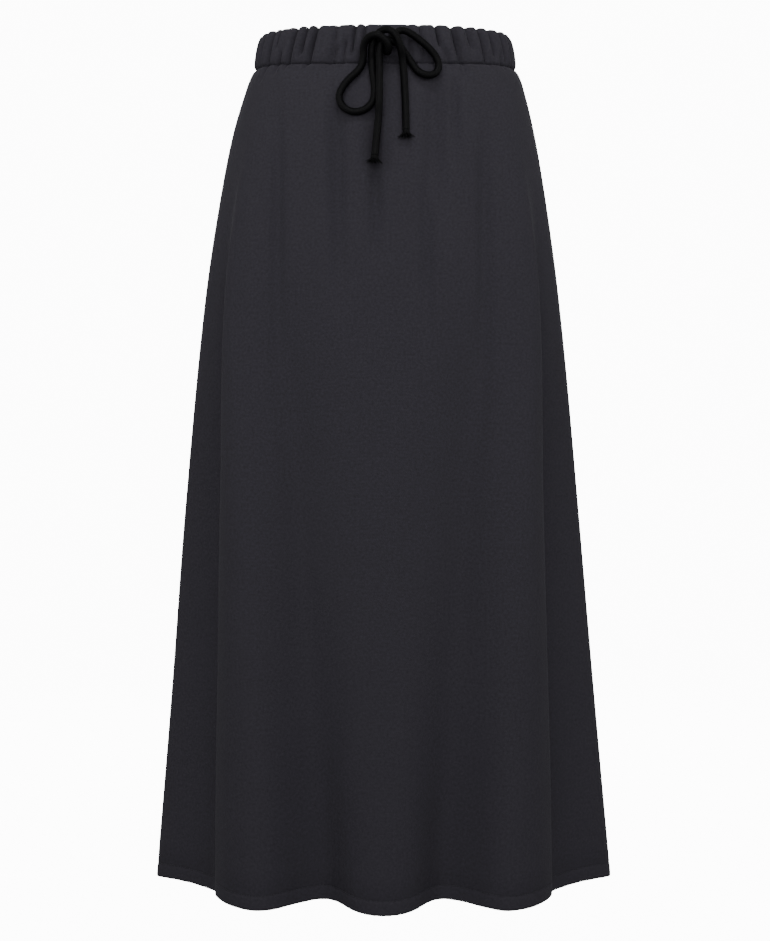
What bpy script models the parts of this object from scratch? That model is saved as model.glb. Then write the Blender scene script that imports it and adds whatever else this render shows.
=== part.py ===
"""Drawstring maxi skirt in thick charcoal knit, filled out as it stands when worn.

Metres, +Z up, centre front at -Y.  The origin is the middle of the waist opening.
Two panels hang from a gathered casing; a round cord comes out of two slots in the
casing and is tied in a bow at the centre front.
"""
import math

import bmesh
import bpy
import numpy as np

MM = 0.001

# ---------------------------------------------------------------- cloth and sewing
WALL = 2.0 * MM            # knit cloth of the panels
TURN_UP = 17.0 * MM        # width of the hem turned up on the inside
SEAM_GAP = 0.3 * MM        # left open between neighbouring pieces
GATHER_FADE = 34.0 * MM    # how far the waist gathers run down into the panels

# ------------------------------------------------------------------- heights
TOP_FRONT_Z = 23.5 * MM    # top of the casing at centre front
TOP_SIDE_RISE = 3.5 * MM   # how much higher it is at the sides
SEAM_FRONT_Z = -19.0 * MM  # casing seam at centre front
SEAM_SIDE_RISE = 10.0 * MM
WAIST_Z = -9.0 * MM        # level the waist section is measured at
HIP_Z = -196.0 * MM
KNEE_Z = -485.0 * MM
HEM_Z = -906.0 * MM

# Plan size of the skirt at each level: half width, depth to the front and to the
# back of the side line, and how far the section sits off to the wearer's right.
#   level_z  half_width  front   back    off_centre   (mm)
LEVELS = (
    (-9.0, 143.2, 94.5, 92.0, 0.6),
    (-14.0, 147.4, 96.6, 94.0, 0.9),
    (-40.0, 156.9, 104.5, 103.0, 0.3),
    (-85.0, 168.7, 113.5, 116.0, -1.0),
    (-152.0, 181.1, 124.0, 130.0, -1.8),
    (-263.0, 197.1, 137.0, 143.0, -2.7),
    (-485.0, 218.5, 157.0, 160.0, -3.0),
    (-707.0, 235.6, 173.5, 176.0, -1.8),
    (-906.0, 251.4, 187.0, 190.0, -1.0),
)

# Fold lines from centre front round the wearer's left side to centre back; the
# other side mirrors them.  Plan positions are shares of the level's half width
# (across) and of its front or back depth (deep), at hip, knee and hem.
#   name               hip across, deep   knee across, deep   hem across, deep   drop (mm)
FOLDS = (
    ("front_ridge", 0.000, -1.000, 0.000, -1.000, 0.000, -1.000, 2.0),
    ("front_slope", 0.290, -0.957, 0.200, -0.945, 0.135, -0.895, -0.7),
    ("front_valley", 0.580, -0.785, 0.400, -0.820, 0.265, -0.745, -5.6),
    ("outer_slope", 0.680, -0.730, 0.505, -0.820, 0.385, -0.820, -2.0),
    ("outer_ridge", 0.755, -0.675, 0.630, -0.805, 0.510, -0.890, 1.0),
    ("outer_shoulder", 0.822, -0.605, 0.733, -0.735, 0.640, -0.762, 0.0),
    ("corner", 0.862, -0.515, 0.785, -0.555, 0.711, -0.538, -1.2),
    ("side_valley", 0.893, -0.380, 0.786, -0.310, 0.732, -0.370, 0.2),
    ("side_face", 0.950, -0.190, 0.885, -0.080, 0.855, -0.200, -3.2),
    ("side_ridge", 1.002, 0.080, 1.004, 0.120, 1.000, 0.000, -2.4),
    ("side_seam", 0.962, 0.320, 0.970, 0.300, 0.985, 0.160, 0.0),
    ("back_side_valley", 0.855, 0.520, 0.838, 0.520, 0.810, 0.430, -2.0),
    ("back_outer_ridge", 0.655, 0.765, 0.690, 0.790, 0.640, 0.830, 1.0),
    ("back_valley", 0.360, 0.915, 0.370, 0.880, 0.320, 0.750, -3.0),
    ("back_ridge", 0.000, 1.000, 0.000, 1.000, 0.000, 1.000, 2.0),
)

# Gathers drawn up by the casing across the front: how far each valley lies from
# centre front along the casing, and how deep it is (mm).  The back repeats them.
QUARTER_ROUND = 185.0
#   along  depth
GATHERS = (
    (-176.0, 1.6),
    (-161.0, 2.0),
    (-147.0, 2.0),
    (-134.0, 2.4),
    (-120.0, 3.4),
    (-106.0, 2.4),
    (-93.0, 3.4),
    (-81.0, 2.8),
    (-70.0, 3.2),
    (-48.0, 2.2),
    (-31.0, 2.8),
    (-21.0, 1.6),
    (24.0, 0.8),
    (36.0, 1.0),
    (53.0, 3.0),
    (70.0, 3.0),
    (85.0, 2.0),
    (98.0, 2.6),
    (111.0, 2.4),
    (125.0, 2.8),
    (138.0, 1.8),
    (150.0, 1.6),
    (162.0, 2.0),
    (176.0, 1.6),
)
GATHER_PINCH = 0.55        # share of a gather's depth left where the seam pinches it
GATHER_LEAN = 7.5 * MM     # tops of the gathers lean towards the centre by this much

# Section of the casing: distance out from the seam line, share of its height.
#   out    up     (mm, share)
CASING_OUTSIDE = (
    (-1.2, 0.00),
    (-0.6, 0.12),
    (-1.8, 0.42),
    (-3.8, 0.72),
    (-6.0, 0.92),
    (-8.2, 1.00),
)
CASING_INSIDE = (
    (-10.2, 0.94),
    (-8.2, 0.72),
    (-6.2, 0.42),
    (-5.4, 0.00),
)
SLOT_ACROSS = 8.5          # slots for the cord, either side of centre front (mm)
SLOT_WIDTH = 9.6           # (mm)
SLOT_ROW = 2               # they reach from this row of CASING_OUTSIDE to the next

# ------------------------------------------------------------------------ cord
CORD_DIAMETER = 8.0 * MM
CORD_SIDES = 8
CORD_STEPS = 3
# Way of each half of the cord: across, up from the waist centre, out from the cloth.
RIGHT_LOOP_CORD = (
    (8.5, 4.9, -2.2),
    (8.6, 5.2, 1.6),
    (9.2, 8.0, 5.4),
    (12.2, 12.6, 7.6),
    (19.0, 15.6, 7.4),
    (27.5, 12.5, 6.4),
    (37.0, 6.0, 5.6),
    (47.0, -2.5, 5.2),
    (54.5, -11.5, 5.0),
    (57.5, -20.5, 5.0),
    (54.5, -29.5, 5.0),
    (45.5, -32.5, 5.0),
    (35.5, -28.5, 5.0),
    (28.0, -18.0, 5.2),
    (21.5, -8.5, 6.8),
    (15.0, -1.0, 9.8),
    (8.0, 3.0, 12.4),
    (1.0, 3.6, 13.0),
    (-4.0, -0.8, 13.2),
    (-5.4, -9.5, 12.2),
    (-5.6, -19.0, 10.9),
    (-5.5, -30.0, 11.8),
    (-5.5, -45.0, 12.6),
    (-5.7, -63.0, 11.3),
    (-6.3, -79.0, 7.0),
    (-8.2, -99.5, 4.9),
    (-10.2, -120.5, 4.8),
)
LEFT_LOOP_CORD = (
    (-8.5, 4.4, -2.2),
    (-8.3, 4.0, 1.6),
    (-6.3, 1.4, 4.6),
    (-2.5, -3.4, 4.8),
    (1.0, -7.4, 7.2),
    (3.4, -8.8, 11.8),
    (4.2, -6.0, 16.6),
    (2.6, -0.8, 20.4),
    (-2.0, 4.2, 22.0),
    (-8.0, 7.2, 22.6),
    (-14.0, 6.6, 21.0),
    (-19.4, 2.8, 17.6),
    (-22.0, -4.4, 12.8),
    (-22.4, -13.0, 9.4),
    (-24.4, -22.0, 6.6),
    (-29.8, -29.8, 5.2),
    (-37.2, -36.8, 5.0),
    (-44.2, -45.6, 5.0),
    (-48.0, -56.5, 5.0),
    (-44.0, -67.5, 5.0),
    (-33.5, -73.3, 5.0),
    (-20.5, -70.8, 5.0),
    (-11.9, -60.5, 5.0),
    (-10.6, -44.0, 5.0),
    (-12.6, -30.0, 5.8),
    (-13.4, -18.0, 8.0),
    (-13.7, -8.0, 10.0),
    (-12.4, 2.0, 11.8),
    (-7.2, 10.4, 14.2),
    (1.0, 14.0, 17.4),
    (8.4, 11.2, 19.6),
    (13.6, 3.8, 19.6),
    (17.0, -6.0, 17.0),
    (18.8, -16.5, 11.6),
    (20.2, -29.0, 6.6),
    (21.3, -48.0, 4.9),
    (22.2, -71.0, 4.8),
    (22.6, -93.0, 4.8),
)
# Frayed ends: a short whipped head, then strands in a 3 by 3 bundle that splay.
TIP_GAP = 0.3 * MM
TIP_HEAD = 4.0 * MM
TIP_STRAND = 8.0 * MM
TIP_SPLAY = 5.2 * MM


def smooth_rise(knots, values, at):
    """Cubic through the rows that never overshoots between two of them."""
    step = np.diff(knots)
    slope = np.diff(values) / step
    tangent = np.zeros(len(knots))
    tangent[0] = slope[0]
    tangent[-1] = slope[-1]
    for i in range(1, len(knots) - 1):
        if slope[i - 1] * slope[i] > 0.0:
            before = 2.0 * step[i] + step[i - 1]
            after = step[i] + 2.0 * step[i - 1]
            tangent[i] = (before + after) / (before / slope[i - 1] + after / slope[i])
    row = np.clip(np.searchsorted(knots, at) - 1, 0, len(step) - 1)
    t = np.clip((at - knots[row]) / step[row], -0.5, 1.2)
    return (values[row] * (1.0 + 2.0 * t) * (1.0 - t) ** 2
            + values[row + 1] * t * t * (3.0 - 2.0 * t)
            + step[row] * (tangent[row] * t * (1.0 - t) ** 2
                           - tangent[row + 1] * t * t * (1.0 - t)))


def mirrored_folds():
    """All fold lines once round: the named ones, then their mirror images."""
    other_side = []
    for name, hip_x, hip_y, knee_x, knee_y, hem_x, hem_y, drop in FOLDS[-2:0:-1]:
        other_side.append((name, -hip_x, hip_y, -knee_x, knee_y, -hem_x, hem_y, drop))
    return list(FOLDS) + other_side


FOLD_RING = mirrored_folds()


def fold_line(fold, z):
    """Plan position of one fold line at heights z."""
    name, hip_x, hip_y, knee_x, knee_y, hem_x, hem_y, drop = fold
    at = -np.asarray(z, float)
    reach = math.hypot(hip_x, hip_y)
    stations = -np.array([WAIST_Z, HIP_Z, KNEE_Z, HEM_Z])
    across = smooth_rise(stations, np.array([hip_x / reach, hip_x, knee_x, hem_x]), at)
    deep = smooth_rise(stations, np.array([hip_y / reach, hip_y, knee_y, hem_y]), at)
    levels = np.array(LEVELS) * MM
    half, front, back, off = [smooth_rise(-levels[:, 0], levels[:, k], at) for k in (1, 2, 3, 4)]
    return off + half * across, np.where(deep < 0.0, front, back) * deep


def ring_knots():
    """Share of the way round at which each fold line lies."""
    total = np.zeros(len(FOLD_RING))
    for z in (HIP_Z, KNEE_Z, HEM_Z):
        points = np.array([fold_line(fold, z) for fold in FOLD_RING])
        total += np.hypot(*(np.roll(points, -1, axis=0) - points).T)
    return np.concatenate([[0.0], np.cumsum(total)]) / total.sum()


RING_KNOTS = ring_knots()
SIDE_SEAM = RING_KNOTS[[fold[0] for fold in FOLDS].index("side_seam")]


def spline_weights(around):
    """Weight of every fold line at each share of the way round (closed cubic)."""
    step = np.diff(RING_KNOTS)
    count = len(step)
    left = np.zeros((count, count))
    right = np.zeros((count, count))
    for i in range(count):
        left[i, i - 1] += step[i - 1]
        left[i, i] += 2.0 * (step[i - 1] + step[i])
        left[i, (i + 1) % count] += step[i]
        right[i, i - 1] += 6.0 / step[i - 1]
        right[i, i] -= 6.0 / step[i - 1] + 6.0 / step[i]
        right[i, (i + 1) % count] += 6.0 / step[i]
    bend = np.linalg.solve(left, right)
    around = np.asarray(around) % 1.0
    i = np.clip(np.searchsorted(RING_KNOTS, around, side="right") - 1, 0, count - 1)
    j = (i + 1) % count
    b = ((around - RING_KNOTS[i]) / step[i])[:, None]
    a = 1.0 - b
    scale = (step[i] ** 2 / 6.0)[:, None]
    unit = np.eye(count)
    return (a * unit[i] + b * unit[j]
            + ((a ** 3 - a) * bend[i] + (b ** 3 - b) * bend[j]) * scale)


def section(around, z):
    """Plan position of the cloth at shares of the way round and heights z."""
    weights = spline_weights(around)
    z = np.asarray(z, float)
    x = np.zeros(np.broadcast(weights[:, 0], z).shape)
    y = np.zeros(x.shape)
    for k, fold in enumerate(FOLD_RING):
        line_x, line_y = fold_line(fold, z)
        x += weights[:, k] * line_x
        y += weights[:, k] * line_y
    return x, y


def outward(around, z):
    """Level unit vector pointing out of the cloth."""
    x0, y0 = section(np.asarray(around) - 0.0005, z)
    x1, y1 = section(np.asarray(around) + 0.0005, z)
    length = np.hypot(x1 - x0, y1 - y0)
    return (y1 - y0) / length, -(x1 - x0) / length


def side_share(around):
    """0 at centre front and back, 1 at the widest point of the waist."""
    x, y = section(around, WAIST_Z)
    return (x / (LEVELS[0][1] * MM)) ** 2


def seam_height(around):
    return SEAM_FRONT_Z + SEAM_SIDE_RISE * side_share(around)


def top_height(around):
    return TOP_FRONT_Z + TOP_SIDE_RISE * side_share(around)


def hem_height(around):
    drops = np.array([fold[7] for fold in FOLD_RING]) * MM
    return HEM_Z - spline_weights(around) @ drops


def waist_way():
    """Table turning a length along the casing into a share of the way round."""
    around = np.linspace(-0.5, 0.5, 1601)
    x, y = section(around, WAIST_Z)
    walked = np.concatenate([[0.0], np.cumsum(np.hypot(np.diff(x), np.diff(y)))])
    walked -= np.interp(0.0, around, walked)
    side = np.interp(SIDE_SEAM, around, walked)
    return around, walked, side


WAY_AROUND, WAY_WALKED, WAY_SIDE = waist_way()
WAY_TOTAL = WAY_WALKED[-1] - WAY_WALKED[0]


def share_round(along):
    """Share of the way round of a length along the casing, from centre front."""
    along = np.asarray(along, float)
    laps = np.floor((along - WAY_WALKED[0]) / WAY_TOTAL)
    return np.interp(along - laps * WAY_TOTAL, WAY_WALKED, WAY_AROUND) + laps


def gather_marks():
    """(length along the casing, height of the wave) at every valley and ridge."""
    front = [(along * MM * WAY_SIDE / (QUARTER_ROUND * MM), depth * MM) for along, depth in GATHERS]
    back_half = WAY_TOTAL / 2.0 - WAY_SIDE
    back = []
    for along, depth in reversed(GATHERS):
        length = WAY_TOTAL / 2.0 - along * MM * back_half / (QUARTER_ROUND * MM)
        back.append((length, depth * MM))
    valleys = front + sorted(back)
    marks = []
    for k, (length, depth) in enumerate(valleys):
        following = valleys[(k + 1) % len(valleys)]
        next_length = following[0] + (WAY_TOTAL if k + 1 == len(valleys) else 0.0)
        marks.append((length, -depth))
        gap = next_length - length
        if gap > 30.0 * MM:
            # the flat stretch behind the bow has no gathers of its own
            steps = int(round((gap - 10.0 * MM) / (8.0 * MM)))
            for step in range(steps + 1):
                marks.append((length + 5.0 * MM + (gap - 10.0 * MM) * step / steps, 0.0))
        else:
            marks.append((length + gap / 2.0, 0.35 * (depth + following[1])))
    return marks


MARKS = gather_marks()


def gather_wave(along):
    """Height of the gathers' wave at lengths along the casing."""
    lengths = np.array([MARKS[-1][0] - WAY_TOTAL] + [m[0] for m in MARKS] + [MARKS[0][0] + WAY_TOTAL])
    heights = np.array([MARKS[-1][1]] + [m[1] for m in MARKS] + [MARKS[0][1]])
    low = lengths[0]
    along = low + (np.asarray(along, float) - low) % WAY_TOTAL
    row = np.clip(np.searchsorted(lengths, along, side="right") - 1, 0, len(lengths) - 2)
    t = (along - lengths[row]) / (lengths[row + 1] - lengths[row])
    ease = 0.5 - 0.5 * np.cos(math.pi * t)
    return heights[row] + (heights[row + 1] - heights[row]) * ease


def add_piece(name, vertices, faces, colour, roughness):
    """One closed solid with its own plain material."""
    mesh = bpy.data.meshes.new(name)
    bm = bmesh.new()
    for point in vertices:
        bm.verts.new(point)
    bm.verts.ensure_lookup_table()
    for face in faces:
        bm.faces.new([bm.verts[i] for i in face])
    bmesh.ops.recalc_face_normals(bm, faces=bm.faces)
    bm.to_mesh(mesh)
    bm.free()
    piece = bpy.data.objects.new(name, mesh)
    bpy.context.scene.collection.objects.link(piece)
    material = bpy.data.materials.new(name)
    material.use_nodes = True
    shader = material.node_tree.nodes["Principled BSDF"]
    shader.inputs["Base Color"].default_value = (*colour, 1.0)
    shader.inputs["Roughness"].default_value = roughness
    mesh.materials.append(material)
    return piece


# Rows down a panel as a share of the way from casing seam to the top of the hem
# turn-up: close together under the gathers, wider apart where the folds hang.
PANEL_ROWS = (0.0, 0.009, 0.020, 0.036, 0.060, 0.095, 0.140, 0.195, 0.260, 0.330,
              0.410, 0.495, 0.580, 0.665, 0.750, 0.835, 0.920)


def panel_grid(columns, inside):
    """Points of one face of a panel, row by row down to the hem edge."""
    around = share_round(columns)
    top = seam_height(around) - SEAM_GAP / 2.0
    hem = hem_height(around)
    turn = hem + TURN_UP
    rows = [(top + (turn - top) * share, WALL) for share in PANEL_ROWS]
    rows += [(turn, WALL), (turn - 0.6 * MM, 2.0 * WALL - 0.4 * MM), (hem, 2.0 * WALL - 0.4 * MM)]
    wave = gather_wave(columns)
    grid = []
    for z, thickness in rows:
        x, y = section(around, z)
        out_x, out_y = outward(around, z)
        fade = np.clip(1.0 - (top - z) / GATHER_FADE, 0.0, 1.0) ** 1.5
        move = GATHER_PINCH * wave * fade - (thickness if inside else 0.0)
        x = x + out_x * move
        y = y + out_y * move
        # the two edges stand back from the side seam by half the gap
        for edge, turn_way in ((0, 1.0), (-1, -1.0)):
            x[edge] += -out_y[edge] * turn_way * SEAM_GAP / 2.0
            y[edge] += out_x[edge] * turn_way * SEAM_GAP / 2.0
        grid.append(np.column_stack([x, y, z]))
    return grid


def build_panel(name, first, last, colour):
    """A skirt panel between two lengths along the casing, with its hem turn-up."""
    columns = [first]
    columns += [m[0] + lap for lap in (0.0, WAY_TOTAL) for m in MARKS
                if first + 3.0 * MM < m[0] + lap < last - 3.0 * MM]
    columns += [last]
    columns = np.array(sorted(columns))
    count = len(columns)
    outer = panel_grid(columns, False)
    inner = panel_grid(columns, True)
    vertices = [tuple(p) for row in outer for p in row]
    vertices += [tuple(p) for row in inner for p in row]
    rows = len(outer)
    shift = rows * count
    faces = []
    for r in range(rows - 1):
        for c in range(count - 1):
            a = r * count + c
            faces.append((a, a + count, a + count + 1, a + 1))
            faces.append((a + shift, a + shift + 1, a + shift + count + 1, a + shift + count))
    for c in range(count - 1):
        low = (rows - 1) * count + c
        faces.append((c, c + 1, c + 1 + shift, c + shift))
        faces.append((low, low + shift, low + shift + 1, low + 1))
    for r in range(rows - 1):
        near = r * count
        far = r * count + count - 1
        faces.append((near, near + shift, near + shift + count, near + count))
        faces.append((far, far + count, far + count + shift, far + shift))
    return add_piece(name, vertices, faces, colour, 0.85)


def casing_columns():
    """Lengths along the casing: four to a gather, and the edges of the two slots."""
    slot_edges = [side * SLOT_ACROSS * MM + edge * SLOT_WIDTH * MM / 2.0
                  for side in (-1.0, 1.0) for edge in (-1.0, 1.0)]
    columns = []
    for k, (length, height) in enumerate(MARKS):
        following = MARKS[k + 1][0] if k + 1 < len(MARKS) else MARKS[0][0] + WAY_TOTAL
        columns += [length, (length + following) / 2.0]
    # near the slots their own edges take the place of the ordinary columns
    columns = [c for c in columns if abs(c) > SLOT_ACROSS * MM + SLOT_WIDTH * MM / 2.0 + 2.0 * MM]
    return np.array(sorted(columns + slot_edges + [0.0])), slot_edges


def casing_points(columns, out, up):
    """One row of the casing round the waist."""
    lean = GATHER_LEAN * up * np.sin(4.0 * math.pi * columns / WAY_TOTAL)
    around = share_round(columns - lean)
    seam = seam_height(around) + SEAM_GAP / 2.0
    top = top_height(around)
    x, y = section(around, WAIST_Z)
    out_x, out_y = outward(around, WAIST_Z)
    return x, y, out_x, out_y, seam + (top - seam) * up, out * MM


def build_casing(colour):
    """The gathered casing, a closed ring with two slots for the cord."""
    columns, slot_edges = casing_columns()
    count = len(columns)
    wave = gather_wave(columns)
    vertices = []
    profile = [(out, up, 1.0) for out, up in CASING_OUTSIDE]
    profile += [(out, up, 0.25) for out, up in CASING_INSIDE]
    for out, up, share in profile:
        x, y, out_x, out_y, z, move = casing_points(columns, out, up)
        # gathers are pinched at the seam and at the elastic's top edge
        swell = share * (GATHER_PINCH + (1.0 - GATHER_PINCH) * math.sin(math.pi * min(up, 0.85)))
        x = x + out_x * (move + wave * swell)
        y = y + out_y * (move + wave * swell)
        z = z + (0.6 * wave * up ** 3 if share == 1.0 else 0.0)
        vertices += [tuple(p) for p in np.column_stack([x, y, z])]
    rows = len(profile)
    slots = [int(np.argmin(abs(columns - slot_edges[0]))), int(np.argmin(abs(columns - slot_edges[2])))]
    outer_row = SLOT_ROW
    inner_row = len(CASING_OUTSIDE) + len(CASING_INSIDE) - 3
    faces = []
    for r in range(rows):
        for c in range(count):
            if c in slots and r in (outer_row, inner_row):
                continue
            a = r * count + c
            b = r * count + (c + 1) % count
            below = ((r + 1) % rows) * count
            faces.append((a, b, below + (c + 1) % count, below + c))
    for c in slots:
        outer_low = [outer_row * count + c, outer_row * count + c + 1]
        outer_high = [(outer_row + 1) * count + c, (outer_row + 1) * count + c + 1]
        inner_high = [inner_row * count + c, inner_row * count + c + 1]
        inner_low = [(inner_row + 1) * count + c, (inner_row + 1) * count + c + 1]
        faces.append((outer_low[0], outer_low[1], inner_low[1], inner_low[0]))
        faces.append((outer_high[0], inner_high[0], inner_high[1], outer_high[1]))
        faces.append((outer_low[0], inner_low[0], inner_high[0], outer_high[0]))
        faces.append((outer_low[1], outer_high[1], inner_high[1], inner_low[1]))
    return add_piece("waistband_casing", vertices, faces, colour, 0.85)


def cloth_front(across, up):
    """How far forward (-Y) the cloth lies at a point on the front."""
    around = np.linspace(-0.2, 0.2, 161)
    z = min(up, SEAM_FRONT_Z)
    x, y = section(around, np.full(around.shape, min(z, WAIST_Z)))
    depth = float(np.interp(across, x, y))
    if up > SEAM_FRONT_Z:
        share = (up - SEAM_FRONT_Z) / (TOP_FRONT_Z - SEAM_FRONT_Z)
        outs = [row[0] for row in CASING_OUTSIDE]
        ups = [row[1] for row in CASING_OUTSIDE]
        depth -= float(np.interp(share, ups, outs)) * MM
    return depth


def cord_path(way):
    """Even curve through the rows of a cord's table (Catmull-Rom)."""
    points = []
    for across, up, out in way:
        x = across * MM
        z = up * MM
        points.append(np.array([x, cloth_front(x, z) - out * MM, z]))
    path = []
    for k in range(len(points) - 1):
        p1 = points[k]
        p2 = points[k + 1]
        p0 = points[k - 1] if k else 2.0 * p1 - p2
        p3 = points[k + 2] if k + 2 < len(points) else 2.0 * p2 - p1
        for step in range(CORD_STEPS):
            t = step / CORD_STEPS
            path.append(0.5 * (2.0 * p1 + (p2 - p0) * t + (2.0 * p0 - 5.0 * p1 + 4.0 * p2 - p3) * t ** 2
                               + (3.0 * p1 - p0 - 3.0 * p2 + p3) * t ** 3))
    path.append(points[-1])
    return path


def unit(vector):
    return vector / np.linalg.norm(vector)


def build_cord(name, way, colour):
    """Round cord along its way, ends closed flat."""
    path = cord_path(way)
    count = len(path)
    side = None
    vertices = []
    for k, centre in enumerate(path):
        along = unit(path[min(k + 1, count - 1)] - path[max(k - 1, 0)])
        if side is None:
            side = np.array([0.0, 0.0, 1.0])
        side = unit(side - along * np.dot(side, along))
        other = np.cross(along, side)
        for s in range(CORD_SIDES):
            angle = 2.0 * math.pi * s / CORD_SIDES
            ring = side * math.cos(angle) + other * math.sin(angle)
            vertices.append(tuple(centre + ring * CORD_DIAMETER / 2.0))
    faces = [tuple(range(CORD_SIDES)), tuple(range((count - 1) * CORD_SIDES, count * CORD_SIDES))]
    for k in range(count - 1):
        for s in range(CORD_SIDES):
            a = k * CORD_SIDES + s
            b = k * CORD_SIDES + (s + 1) % CORD_SIDES
            faces.append((a, b, b + CORD_SIDES, a + CORD_SIDES))
    add_piece(name, vertices, faces, colour, 0.8)
    return path[-1], unit(path[-1] - path[-2])


def build_tip(name, end, along, colour):
    """Frayed end: a head as thick as the cord with nine strands fused to it."""
    across = unit(np.cross(along, np.array([0.0, -1.0, 0.0])))
    out = np.cross(across, along)
    if out[1] > 0.0:
        out = -out
    radius = CORD_DIAMETER / 2.0
    start = end + along * TIP_GAP

    def place(u, v, down):
        return tuple(start + across * u + out * v + along * down)

    # a 4 by 4 grid of points squeezed into a disc makes nine cells, one per strand
    grid = []
    for i in range(4):
        for j in range(4):
            u = -1.0 + 2.0 * i / 3.0
            v = -1.0 + 2.0 * j / 3.0
            reach = radius * max(abs(u), abs(v)) / math.hypot(u, v)
            grid.append((u * reach, v * reach))
    vertices = [place(u, v, 0.0) for u, v in grid] + [place(u, v, TIP_HEAD) for u, v in grid]
    faces = []
    rim = [(0, 4), (4, 8), (8, 12), (12, 13), (13, 14), (14, 15), (15, 11), (11, 7),
           (7, 3), (3, 2), (2, 1), (1, 0)]
    for a, b in rim:
        faces.append((a, b, b + 16, a + 16))
    for i in range(3):
        for j in range(3):
            cell = (4 * i + j, 4 * i + 4 + j, 4 * i + 5 + j, 4 * i + 1 + j)
            faces.append(cell)
            floor = [v + 16 for v in cell]
            centre_u = sum(grid[v][0] for v in cell) / 4.0
            centre_v = sum(grid[v][1] for v in cell) / 4.0
            # strands differ in length and splay, across the cloth and away from it
            length = TIP_STRAND * (0.80 + 0.20 * ((3 * i + 5 * j) % 4) / 3.0)
            splay = TIP_SPLAY * (0.85 + 0.15 * ((i + 2 * j) % 3))
            lower = floor
            for share, keep in ((0.0, 0.78), (0.5, 0.70), (1.0, 0.45)):
                base = len(vertices)
                for v in cell:
                    u0 = centre_u + (grid[v][0] - centre_u) * keep
                    v0 = centre_v + (grid[v][1] - centre_v) * keep
                    u0 += centre_u / radius * splay * share ** 1.3 * 1.6
                    v0 += centre_v / radius * splay * share ** 1.3 * (0.7 if centre_v > 0.0 else 0.1)
                    vertices.append(place(u0, v0, TIP_HEAD + length * share))
                ring = list(range(base, base + 4))
                for s in range(4):
                    faces.append((lower[s], lower[(s + 1) % 4], ring[(s + 1) % 4], ring[s]))
                lower = ring
            faces.append(tuple(lower))
    add_piece(name, vertices, faces, colour, 0.85)


def main():
    for item in list(bpy.data.objects):
        bpy.data.objects.remove(item)
    charcoal = (0.031, 0.030, 0.036)
    charcoal_back = (0.028, 0.027, 0.033)
    charcoal_casing = (0.034, 0.033, 0.039)
    black = (0.006, 0.006, 0.008)
    build_panel("front_panel", -WAY_SIDE, WAY_SIDE, charcoal)
    build_panel("back_panel", WAY_SIDE, WAY_TOTAL - WAY_SIDE, charcoal_back)
    build_casing(charcoal_casing)
    end, along = build_cord("cord_right_loop", RIGHT_LOOP_CORD, black)
    build_tip("cord_tip_long", end, along, black)
    end, along = build_cord("cord_left_loop", LEFT_LOOP_CORD, black)
    build_tip("cord_tip_short", end, along, black)


main()
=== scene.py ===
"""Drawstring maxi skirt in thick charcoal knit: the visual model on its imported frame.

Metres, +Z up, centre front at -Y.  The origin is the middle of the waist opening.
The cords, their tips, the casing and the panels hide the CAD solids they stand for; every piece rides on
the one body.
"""

import math
import random

import bpy
import numpy as np
from mathutils import Matrix


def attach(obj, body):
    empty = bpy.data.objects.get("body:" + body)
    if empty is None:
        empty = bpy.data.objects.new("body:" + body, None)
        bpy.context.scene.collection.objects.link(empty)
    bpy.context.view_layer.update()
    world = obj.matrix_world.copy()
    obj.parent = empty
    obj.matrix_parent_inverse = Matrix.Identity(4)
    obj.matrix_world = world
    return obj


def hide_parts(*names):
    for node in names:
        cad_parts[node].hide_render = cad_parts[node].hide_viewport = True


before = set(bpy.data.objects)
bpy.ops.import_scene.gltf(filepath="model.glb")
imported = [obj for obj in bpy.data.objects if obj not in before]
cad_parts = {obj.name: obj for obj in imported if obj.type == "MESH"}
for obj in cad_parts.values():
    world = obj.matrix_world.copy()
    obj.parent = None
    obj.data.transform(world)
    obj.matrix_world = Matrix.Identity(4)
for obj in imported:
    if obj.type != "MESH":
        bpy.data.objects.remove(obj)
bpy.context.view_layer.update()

MM = 0.001

# -------- cloth and sewing
WALL = 2.0 * MM            # knit cloth of the panels
CASING_WALL = 1.6 * MM     # the same cloth, stretched over the elastic
TURN_UP = 17.0 * MM        # width of the hem turned up on the inside
SEAM_ROLL = 1.5 * MM       # cloth edges turn in by this much at a seam
SEAM_GAP = 0.3 * MM
STITCH_LENGTH = 2.6 * MM   # thread of the hem's row of stitches
STITCH_GAP = 0.7 * MM
STITCH_THICK = 0.45 * MM
STITCH_ABOVE_HEM = 15.4    # (mm)
STITCH_BEHIND = 0.38       # how far the row sinks into the cloth (mm)
STITCH_START = 2.0 * MM    # the row keeps this far from the side seams
SIDE_TURN = 0.9 * MM       # a panel's sides turn in to the side seams by this much
SIDE_TURN_REACH = 2.6 * MM
HEM_SPREAD = 1.1           # a panel is wider at the hem than at the waist by this share
PANEL_GATHER = 0.62        # share of the casing's gathers left in a panel's top edge
PANEL_PUCKER = 0.28 * MM
PUCKER_REACH = 9.0 * MM
SEAM_PUCKER = 0.30 * MM    # puckers of the casing at its seam and at its top edge
TOP_PUCKER = 0.22 * MM

# -------- fineness of the pieces
PANEL_COLUMNS = 300        # columns of points across a panel
CASING_COLUMNS = 720       # the same, once round the casing
WAIST_ROW = 4              # row of a panel's face just below the edge that turns in
HEM_ROW = -3               # row of it just above the hem's turned edge
STITCH_COLUMNS = 1200      # steps along a hem when its stitches are placed
CORD_SIDES = 40
CORD_RING = 0.55 * MM      # length of one ring of a cord's tube
CORD_STEPS = 24            # points of a cord's curve for each row of its table

# -------- heights
TOP_FRONT_Z = 23.5 * MM    # top of the casing at centre front
TOP_SIDE_RISE = 3.5 * MM
SEAM_FRONT_Z = -19.0 * MM  # casing seam at centre front
SEAM_SIDE_RISE = 10.0 * MM
WAIST_Z = -9.0 * MM
HIP_Z = -196.0 * MM
KNEE_Z = -485.0 * MM
HEM_Z = -906.0 * MM

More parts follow.
